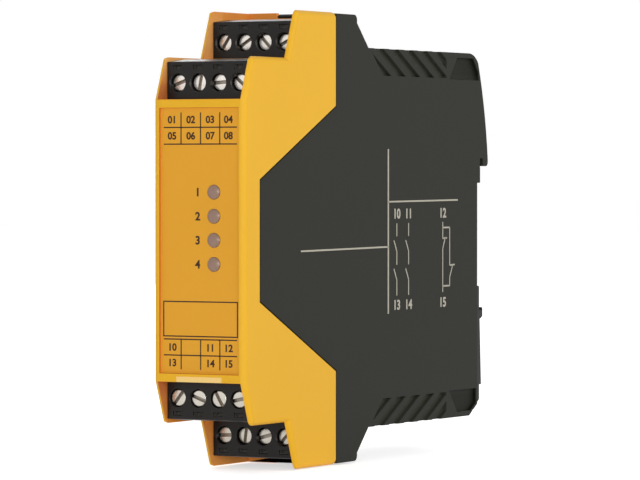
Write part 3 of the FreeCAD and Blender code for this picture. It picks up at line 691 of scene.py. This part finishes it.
# Painted light: the vent grooves are painted lighter than the shell, to lift the shade that falls
# in them.
tint_zone(shell_dark, paint(*VENT_PAINTED_LIGHT), (0, FACE + 0.0743, 0.039),
          (RIB_HALF, 0.0193, 0.00285))
# Painted shade: the grip pockets are painted darker, with soft upper and lower edges, for the
# shade in them.
tint_zone(shell_dark, paint(*GRIP_PAINTED_SHADE), (0, FACE + 0.1045, 0.0395),
          (RIB_HALF, 0.0102, 0.0023), (CRISP, CRISP, GRIP_FADE))

shell_shape = merged_copy("housing_base")

# The first vents end in long points. Each is drawn back a little, because the rounding
# of its edges reaches that far out again.
for vert in shell_shape.verts:
    place = Vector((vert.co.y - FACE, abs(vert.co.z)))
    if (place - Vector(VENT_TIP)).length < 0.0001:
        vert.co.y += TIP_BACK
        vert.co.z *= 1 - TIP_DROP / VENT_TIP[1]

# A thin rim closes the grip's pocket at the lower rear corner.
for side in (1, -1):
    inner, outer = ([shell_shape.verts.new((side * across, FACE + depth, height))
                     for depth, height in CORNER_RIM] for across in (RIM_INNER, RIM_OUTER))
    faces = [shell_shape.faces.new(inner), shell_shape.faces.new(outer[::-1])]
    for index in range(len(CORNER_RIM)):
        after = (index + 1) % len(CORNER_RIM)
        faces.append(shell_shape.faces.new(
            (inner[after], inner[index], outer[index], outer[after])))
    bmesh.ops.recalc_face_normals(shell_shape, faces=faces)
add_piece("dark_shell", rounded_mesh(shell_shape, "dark_shell", SHELL_ROUND),
          shell_dark, "housing", "shell_black", ["housing_base"])


# ---- Side print: grey ink pad-printed on the shell's right side. Ruled lines part the
# field, and the three contacts are drawn in it as in any wiring plan.

SIDE_FACE = cad_box[1].x
INK_GREY = (178, 173, 158)
SIDE_STROKE = 0.00036
RULE_STROKE = 0.0006
SIDE_RULES = (
    (((0.0645, 0.0197), (0.0645, -0.0172)), RULE_STROKE),
    (((0.0645, 0.0079), (0.0988, 0.0081)), SIDE_STROKE),
    (((0.0243, -0.0025), (0.0645, -0.0022)), SIDE_STROKE),
)
OPEN_COLUMNS = (0.0686, 0.0743)
OPEN_CONTACT = (
    ((0, 0.003), (0, 0.0001)),
    ((-0.0014, -0.0008), (0, -0.0033), (0, -0.0063)),
    ((-0.0014, -0.0072), (0, -0.0097), (0, -0.0132)),
)
CLOSED_COLUMN = 0.0912
CLOSED_CONTACT = (
    ((0, 0.0031), (0, -0.0007), (0.0021, -0.0006)),
    ((0.0013, -0.0004), (0, -0.003), (0, -0.013)),
    ((0, 0.0018), (0.0035, 0.0018), (0.0035, -0.0069), (0.006, -0.0068)),
    ((0.005, -0.0069), (0.0035, -0.0096), (0.0035, -0.0116), (0, -0.0116)),
)
SIDE_DIGIT = 0.0021
DIGIT_OVER = 0.0052
DIGIT_UNDER = -0.0153
DIGIT_WIDTH = 1.15


def side_plane(u, v, out):
    """A point of the side print: depth behind the cover's front, up, and out."""
    return Vector((SIDE_FACE + out, FACE + u, v))


def add_path(shape, points, width=SIDE_STROKE, column=0):
    """A printed line through the points, counted from a column."""
    places = [(column + u, v) for u, v in points]
    for start, end in zip(places, places[1:]):
        add_bar(shape, side_plane, start, end, width)


side_shape = bmesh.new()
for points, width in SIDE_RULES:
    add_path(side_shape, points, width)
contacts = [(column, OPEN_CONTACT) for column in OPEN_COLUMNS] + [(CLOSED_COLUMN, CLOSED_CONTACT)]
for number, (column, paths) in enumerate(contacts, 10):
    for points in paths:
        add_path(side_shape, points, column=column)
    for figure, height in ((number, DIGIT_OVER), (number + 3, DIGIT_UNDER)):
        add_number(side_shape, side_plane, figure, (column, height), SIDE_DIGIT, DIGIT_WIDTH)
bmesh.ops.recalc_face_normals(side_shape, faces=side_shape.faces)
ink_grey = ink("ink_grey", paint(*INK_GREY))
add_piece("side_print", creased(drawn_mesh(side_shape, "side_print")), ink_grey,
          "housing", "shell_black", weighted=False)


# ---- Terminal plugs: four black mouldings of four poles each, with screw wells in
# front and wire funnels outside. Each pulls off its header.

ROWS = ("upper_front", "upper_rear", "lower_front", "lower_rear")
PLUG_ROUND = 0.0001
PLUG_BLACK = (22, 20, 18)
TEST_SLOT_PAINTED_LIGHT = (88, 84, 79)
TEST_HEIGHT = 0.0068
TEST_DEPTH = 0.0013
TEST_HALF = (0.0098, 0.0009, 0.0005)

for row in ROWS:
    name = "plug_" + row
    near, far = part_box(name)
    plug_black = moulded_plastic("black_" + name, paint(*PLUG_BLACK), gloss=0.3)
    test_height = min(abs(near.z), abs(far.z)) + TEST_HEIGHT
    # Painted light: the test slots inside each plug are painted grey, lighter than the plug, to
    # soften the shade in them.
    tint_zone(plug_black, paint(*TEST_SLOT_PAINTED_LIGHT), (0, near.y + TEST_DEPTH, test_height), TEST_HALF)
    add_piece("terminal_" + name, rounded_copy(name, "terminal_" + name, PLUG_ROUND),
              plug_black, name, "plug_black", [name])


# ---- Plug contacts: strips of tinned copper alloy, each stamped with a clamp bar
# and two leaves for its pin.

TIN = (0.70, 0.69, 0.66, 1.0)
STRIP_ROUND = 0.00004
LINE_SIZE = 3000.0
LINE_STRETCH = (1.0, 0.08, 1.0)
CLOUD_SIZE = 420.0
CLOUD_SHADES = (0.86, 1.06)
CLOUD_GLOSS = 0.22


def worked_metal():
    """The skin of a plated part: fine drawn lines, faint clouding and uneven gloss."""
    floats = "NodeSocketFloat"
    group, ins, outs = socket_group(
        "worked_metal",
        [("Color", "NodeSocketColor", None), ("Lines", floats, LINE_SIZE),
         ("Gloss", floats, 0.25)],
        [("Color", "NodeSocketColor"), ("Roughness", floats), ("Height", floats)])
    spot = group.nodes.new("ShaderNodeTexCoord").outputs["Object"]
    stretch = group.nodes.new("ShaderNodeMapping")
    stretch.inputs["Scale"].default_value = LINE_STRETCH
    group.links.new(spot, stretch.inputs["Vector"])
    lines = noise_at(group, stretch.outputs[0], ins.outputs["Lines"], 2.0)
    cloud = noise_at(group, spot, CLOUD_SIZE, 3.0)
    colour = clouded(group, ins.outputs["Color"], None, cloud, CLOUD_SHADES)
    rough = uneven_gloss(group, ins.outputs["Gloss"], cloud, CLOUD_GLOSS)
    group.links.new(colour, outs.inputs["Color"])
    group.links.new(rough, outs.inputs["Roughness"])
    group.links.new(lines, outs.inputs["Height"])
    return group


WORKED = worked_metal()


def plated_metal(name, colour, gloss=0.22, lines=LINE_SIZE, depth=0.000006):
    """A plated metal: its colour, the low end of its roughness and its drawn lines."""
    material = skinned(name, WORKED, {"Color": colour, "Lines": lines, "Gloss": gloss}, depth)
    shine_of(material)["Metallic"].default_value = 1.0
    return material


tinned_strip = plated_metal("tinned_strip", TIN)
for row in ROWS:
    name = "contacts_" + row
    add_piece("strip_" + name, rounded_copy(name, "strip_" + name, STRIP_ROUND),
              tinned_strip, "plug_" + row, "contact_tin", [name])


# ---- Terminal screws: slotted steel screws with turned heads, nickel-plated. Each
# stays in its plug and turns there.

HEAD_RADIUS = 0.00175
HEAD_LENGTH = 0.0013
HEAD_SIDES = 48
HEAD_EDGE = 0.00022
EDGE_STEPS = 4
HEAD_CROWN = 0.00006
SHANK_RADIUS = 0.0012
SHANK_LENGTH = 0.0045
SHANK_SIDES = 32
THREAD_DEPTH = 0.0001
THREAD_PITCH = 0.0005
THREAD_START = 0.0004
SLOT_LENGTH = 0.006
SLOT_WIDTH = 0.0008
SLOT_DEPTH = 0.0009
# Painted light: the upper rows' nickel is painted brighter and the lower rows' darker, for the
# light that their heads catch.
NICKEL_WITH_PAINTED_LIGHT = {"upper": (0.99, 0.94, 0.87, 1.0), "lower": (0.76, 0.72, 0.64, 1.0)}
NICKEL_METALLIC = 0.8
SLOT_PAINTED_SHADE = (0.34, 0.30, 0.25, 1.0)
SCREW_CREASE = 35
SLOT_TURNS = {
    "upper_front": (20, 80, 4, -40),
    "upper_rear": (57, 33, -46, 27),
    "lower_front": (52, -20, -60, 12),
    "lower_rear": (2, 83, 15, 48),
}


def new_tree(name, ins):
    """A geometry tree with named inputs: (label, kind, value)."""
    tree = bpy.data.node_groups.new(name, "GeometryNodeTree")
    for label, kind, value in ins:
        socket = tree.interface.new_socket(label, in_out="INPUT", socket_type=kind)
        if value is not None:
            socket.default_value = value
    tree.interface.new_socket("Geometry", in_out="OUTPUT", socket_type="NodeSocketGeometry")
    return tree, tree.nodes.new("NodeGroupInput"), tree.nodes.new("NodeGroupOutput")


def tree_node(tree, kind, sockets=(), **settings):
    """A node with its settings made and its sockets given values or links."""
    node = tree.nodes.new(kind)
    for label, value in settings.items():
        setattr(node, label, value)
    for label, value in dict(sockets).items():
        if isinstance(value, bpy.types.NodeSocket):
            tree.links.new(value, node.inputs[label])
        else:
            node.inputs[label].default_value = value
    return node


def joined_parts(tree, parts):
    """The geometry of several parts in one."""
    join = tree_node(tree, "GeometryNodeJoinGeometry")
    for part in parts:
        tree.links.new(part, join.inputs[0])
    return join.outputs[0]


def screw_head(tree, radius, turn):
    """A drum with a rounded rim, a faint crown and a slot. Its top is at zero."""
    ring = tree_node(tree, "GeometryNodeMeshCircle", {"Vertices": HEAD_SIDES, "Radius": 1.0},
                     fill_type="NGON")
    scale = tree_node(tree, "ShaderNodeCombineXYZ", {"X": radius, "Y": radius, "Z": 1.0})
    disc = tree_node(tree, "GeometryNodeTransform", {
        "Geometry": ring.outputs["Mesh"], "Translation": (0, 0, -HEAD_LENGTH),
        "Scale": scale.outputs[0]})
    body, end = disc.outputs["Geometry"], None
    base = tree_node(tree, "GeometryNodeFlipFaces", {"Mesh": body})
    steps = [(HEAD_LENGTH - HEAD_EDGE - HEAD_CROWN, 1.0)]
    last_rise, last_width = 0.0, 1.0
    for index in range(1, EDGE_STEPS + 1):
        angle = math.radians(90 * index / EDGE_STEPS)
        rise = HEAD_EDGE * math.sin(angle)
        width = 1 - HEAD_EDGE / HEAD_RADIUS * (1 - math.cos(angle))
        steps.append((rise - last_rise, width / last_width))
        last_rise, last_width = rise, width
    steps += [(HEAD_CROWN * 0.7, 0.7), (HEAD_CROWN * 0.3, 0.5)]
    for advance, factor in steps:
        drawn = tree_node(tree, "GeometryNodeExtrudeMesh", {
            "Mesh": body, "Offset Scale": advance, "Individual": False}, mode="FACES")
        if end is not None:
            tree.links.new(end, drawn.inputs["Selection"])
        end = drawn.outputs["Top"]
        sized = tree_node(tree, "GeometryNodeScaleElements", {
            "Geometry": drawn.outputs["Mesh"], "Selection": end, "Scale": factor})
        body = sized.outputs["Geometry"]
    closed = joined_parts(tree, [body, base.outputs["Mesh"]])
    merged = tree_node(tree, "GeometryNodeMergeByDistance", {
        "Geometry": closed, "Distance": 1e-7})
    cutter = tree_node(tree, "GeometryNodeMeshCube", {
        "Size": (SLOT_LENGTH, SLOT_WIDTH, 2 * SLOT_DEPTH)})
    spin = tree_node(tree, "ShaderNodeCombineXYZ", {"Z": turn})
    turned = tree_node(tree, "GeometryNodeTransform", {
        "Geometry": cutter.outputs["Mesh"], "Rotation": spin.outputs[0]})
    slotted = tree_node(tree, "GeometryNodeMeshBoolean", {"Mesh 1": merged.outputs[0]},
                        operation="DIFFERENCE", solver="EXACT")
    tree.links.new(turned.outputs[0], slotted.inputs["Mesh 2"])
    return slotted.outputs["Mesh"]


def lowered(tree, part, height):
    """A part moved to a height that the tree works out."""
    place = tree_node(tree, "ShaderNodeCombineXYZ", {"Z": height})
    moved = tree_node(tree, "GeometryNodeTransform", {
        "Geometry": part, "Translation": place.outputs[0]})
    return moved.outputs[0]


def worked_out(tree, operation, *values):
    """A number that the tree works out from values or links."""
    maths = tree_node(tree, "ShaderNodeMath", dict(enumerate(values)), operation=operation)
    return maths.outputs[0]


def threaded_shank(tree, length):
    """A plain core under the head, and the ridge of its thread swept along a helix."""
    core = tree_node(tree, "GeometryNodeMeshCylinder", {
        "Vertices": SHANK_SIDES, "Radius": SHANK_RADIUS - THREAD_DEPTH, "Depth": length})
    middle = worked_out(tree, "MULTIPLY_ADD", length, -0.5, -HEAD_LENGTH)
    turns = worked_out(tree, "DIVIDE", length, THREAD_PITCH)
    turns = worked_out(tree, "SUBTRACT", turns, 2.0)
    rise = worked_out(tree, "MULTIPLY", turns, THREAD_PITCH)
    helix = tree_node(tree, "GeometryNodeCurveSpiral", {
        "Resolution": 24, "Rotations": turns, "Height": rise,
        "Start Radius": SHANK_RADIUS - THREAD_DEPTH,
        "End Radius": SHANK_RADIUS - THREAD_DEPTH})
    ridge = tree_node(tree, "GeometryNodeCurvePrimitiveCircle", {
        "Resolution": 3, "Radius": 2 * THREAD_DEPTH}, mode="RADIUS")
    thread = tree_node(tree, "GeometryNodeCurveToMesh", {
        "Curve": helix.outputs["Curve"], "Profile Curve": ridge.outputs["Curve"],
        "Fill Caps": True})
    foot = worked_out(tree, "MULTIPLY_ADD", rise, -1.0, -HEAD_LENGTH - THREAD_START)
    return [lowered(tree, core.outputs["Mesh"], middle), lowered(tree, thread.outputs[0], foot)]


def screw_tree():
    """A slotted screw whose head faces forwards, with its top at the given place."""
    floats = "NodeSocketFloat"
    tree, ins, outs = new_tree("slotted_screw", [
        ("Place", "NodeSocketVector", (0, 0, 0)), ("Turn", floats, 0.0),
        ("Head Radius", floats, HEAD_RADIUS), ("Shank Length", floats, SHANK_LENGTH),
        ("Steel", "NodeSocketMaterial", None)])
    head = screw_head(tree, ins.outputs["Head Radius"], ins.outputs["Turn"])
    shank = threaded_shank(tree, ins.outputs["Shank Length"])
    seated = tree_node(tree, "GeometryNodeTransform", {
        "Geometry": joined_parts(tree, [head] + shank), "Translation": ins.outputs["Place"],
        "Rotation": (math.radians(90), 0, 0)})
    real = tree_node(tree, "GeometryNodeRealizeInstances", {"Geometry": seated.outputs[0]})
    finish = tree_node(tree, "GeometryNodeSetMaterial", {
        "Geometry": real.outputs[0], "Material": ins.outputs["Steel"]})
    tree.links.new(finish.outputs[0], outs.inputs[0])
    return tree


def grown_mesh(tree, name, values):
    """The plain mesh that a geometry tree makes from these values."""
    seed = bpy.data.objects.new(name, bpy.data.meshes.new(name))
    grower = seed.modifiers.new(name, "NODES")
    grower.node_group = tree
    for item in tree.interface.items_tree:
        if item.in_out == "INPUT" and item.name in values:
            grower[item.identifier] = values[item.name]
    return baked_mesh(seed, name, SCREW_CREASE)


SCREW = screw_tree()
for row in ROWS:
    nickel = plated_metal("nickel_" + row, NICKEL_WITH_PAINTED_LIGHT[row[:5]], gloss=0.17, lines=5000.0)
    shine_of(nickel)["Metallic"].default_value = NICKEL_METALLIC
    near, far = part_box("screw_%s_1" % row)
    # Painted shade: each row's nickel is painted darker in the screw slots and on the heads'
    # sides, deep in their wells.
    tint_zone(nickel, SLOT_PAINTED_SHADE, (0, near.y + 0.0007, abs(near.z + far.z) / 2),
              (0.01, 0.0003, 0.002), (0.001, 0.00022, 0.001))
    for index, turn in enumerate(SLOT_TURNS[row], 1):
        node = "screw_%s_%d" % (row, index)
        near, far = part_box(node)
        middle = (near + far) / 2
        mesh = grown_mesh(SCREW, "slotted_" + node, {
            "Place": (middle.x, near.y, middle.z), "Turn": math.radians(turn),
            "Head Radius": (far.x - near.x) / 2,
            "Shank Length": far.y - near.y - HEAD_LENGTH, "Steel": nickel})
        add_piece("slotted_" + node, mesh, nickel, node, "screw_nickel", [node], weighted=False)


# ---- Rising clamps: folded from zinc-plated steel strip, with the screw's thread in
# the front plate.

ZINC = (0.62, 0.64, 0.66, 1.0)
CLAMP_ROUND = 0.00008

zinc = plated_metal("zinc_clamp", ZINC, gloss=0.28)
for row in ROWS:
    for index in range(1, 5):
        node = "clamp_%s_%d" % (row, index)
        add_piece("folded_" + node, rounded_copy(node, "folded_" + node, CLAMP_ROUND),
                  zinc, node, "clamp_zinc", [node])


# ---- Foot catch and spring: a black slide on the rear wall, and the steel coil that
# pushes it up.

FOOT_BLACK = (14, 14, 13)
FOOT_ROUND = 0.00015
WIRE_STEEL = (0.5, 0.5, 0.5, 1.0)

foot_black = moulded_plastic("foot_black", paint(*FOOT_BLACK), gloss=0.38)
add_piece("rail_catch", rounded_copy("foot_catch", "rail_catch", FOOT_ROUND),
          foot_black, "foot", "foot_black", ["foot_catch"])

drawn_wire = plated_metal("drawn_wire", WIRE_STEEL, gloss=0.3)
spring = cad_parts["foot_spring"]
spring.data.materials.clear()
spring.data.materials.append(drawn_wire)


# ---- Headers: black mouldings behind the bays, soldered to the board by their pins
# of tinned brass.

HEADER_BLACK = (40, 39, 38)
HEADER_ROUND = 0.00008
PIN_TIN = (0.72, 0.71, 0.68, 1.0)
PIN_ROUND = 0.00006

header_black = moulded_plastic("header_black", paint(*HEADER_BLACK), gloss=0.42)
for row in ROWS:
    name = "header_" + row
    add_piece("moulded_" + name, rounded_copy(name, "moulded_" + name, HEADER_ROUND),
              header_black, "housing", "header_black", [name])
tinned_pin = plated_metal("tinned_pin", PIN_TIN, gloss=0.16)
add_piece("square_pins", rounded_copy("header_pins", "square_pins", PIN_ROUND),
          tinned_pin, "housing", "tinned_pin", ["header_pins"])


# ---- Circuit board and what it carries: green solder mask on glass-fibre laminate,
# two relays in dark cases, two sleeved capacitors, two chips and four lamp chips.

BOARD_PIECES = (
    # piece, nodes, plastic, its colour, gloss, grain, slot, rounding
    ("circuit_board", ["main_board"], "board_green", (38, 98, 62), 0.2, 900.0,
     "board_green", 0.00006),
    ("cased_relay_k1", ["relay_k1"], "relay_case", (44, 44, 48), 0.3, GRAIN_SIZE,
     "relay_case", 0.0002),
    ("cased_relay_k2", ["relay_k2"], "relay_case", (44, 44, 48), 0.3, GRAIN_SIZE,
     "relay_case", 0.0002),
    ("sleeved_capacitors", ["capacitors"], "capacitor_sleeve", (38, 48, 76), 0.18, GRAIN_SIZE,
     "capacitor_sleeve", 0.0004),
    ("moulded_chips", ["logic_chips"], "chip_black", (34, 34, 35), 0.45, GRAIN_SIZE,
     "chip_black", 0.00012),
    ("lamp_chips", ["status_lamps"], "lamp_white", (226, 224, 208), 0.2, GRAIN_SIZE,
     "lamp_chip", 0.00008),
)

board_plastics = {}
for piece, nodes, plastic, colour, gloss, grain, slot, rounding in BOARD_PIECES:
    if plastic not in board_plastics:
        board_plastics[plastic] = moulded_plastic(plastic, paint(*colour), gloss, grain)
    add_piece(piece, rounded_copy(nodes[0], piece, rounding), board_plastics[plastic],
              "housing", slot, nodes)
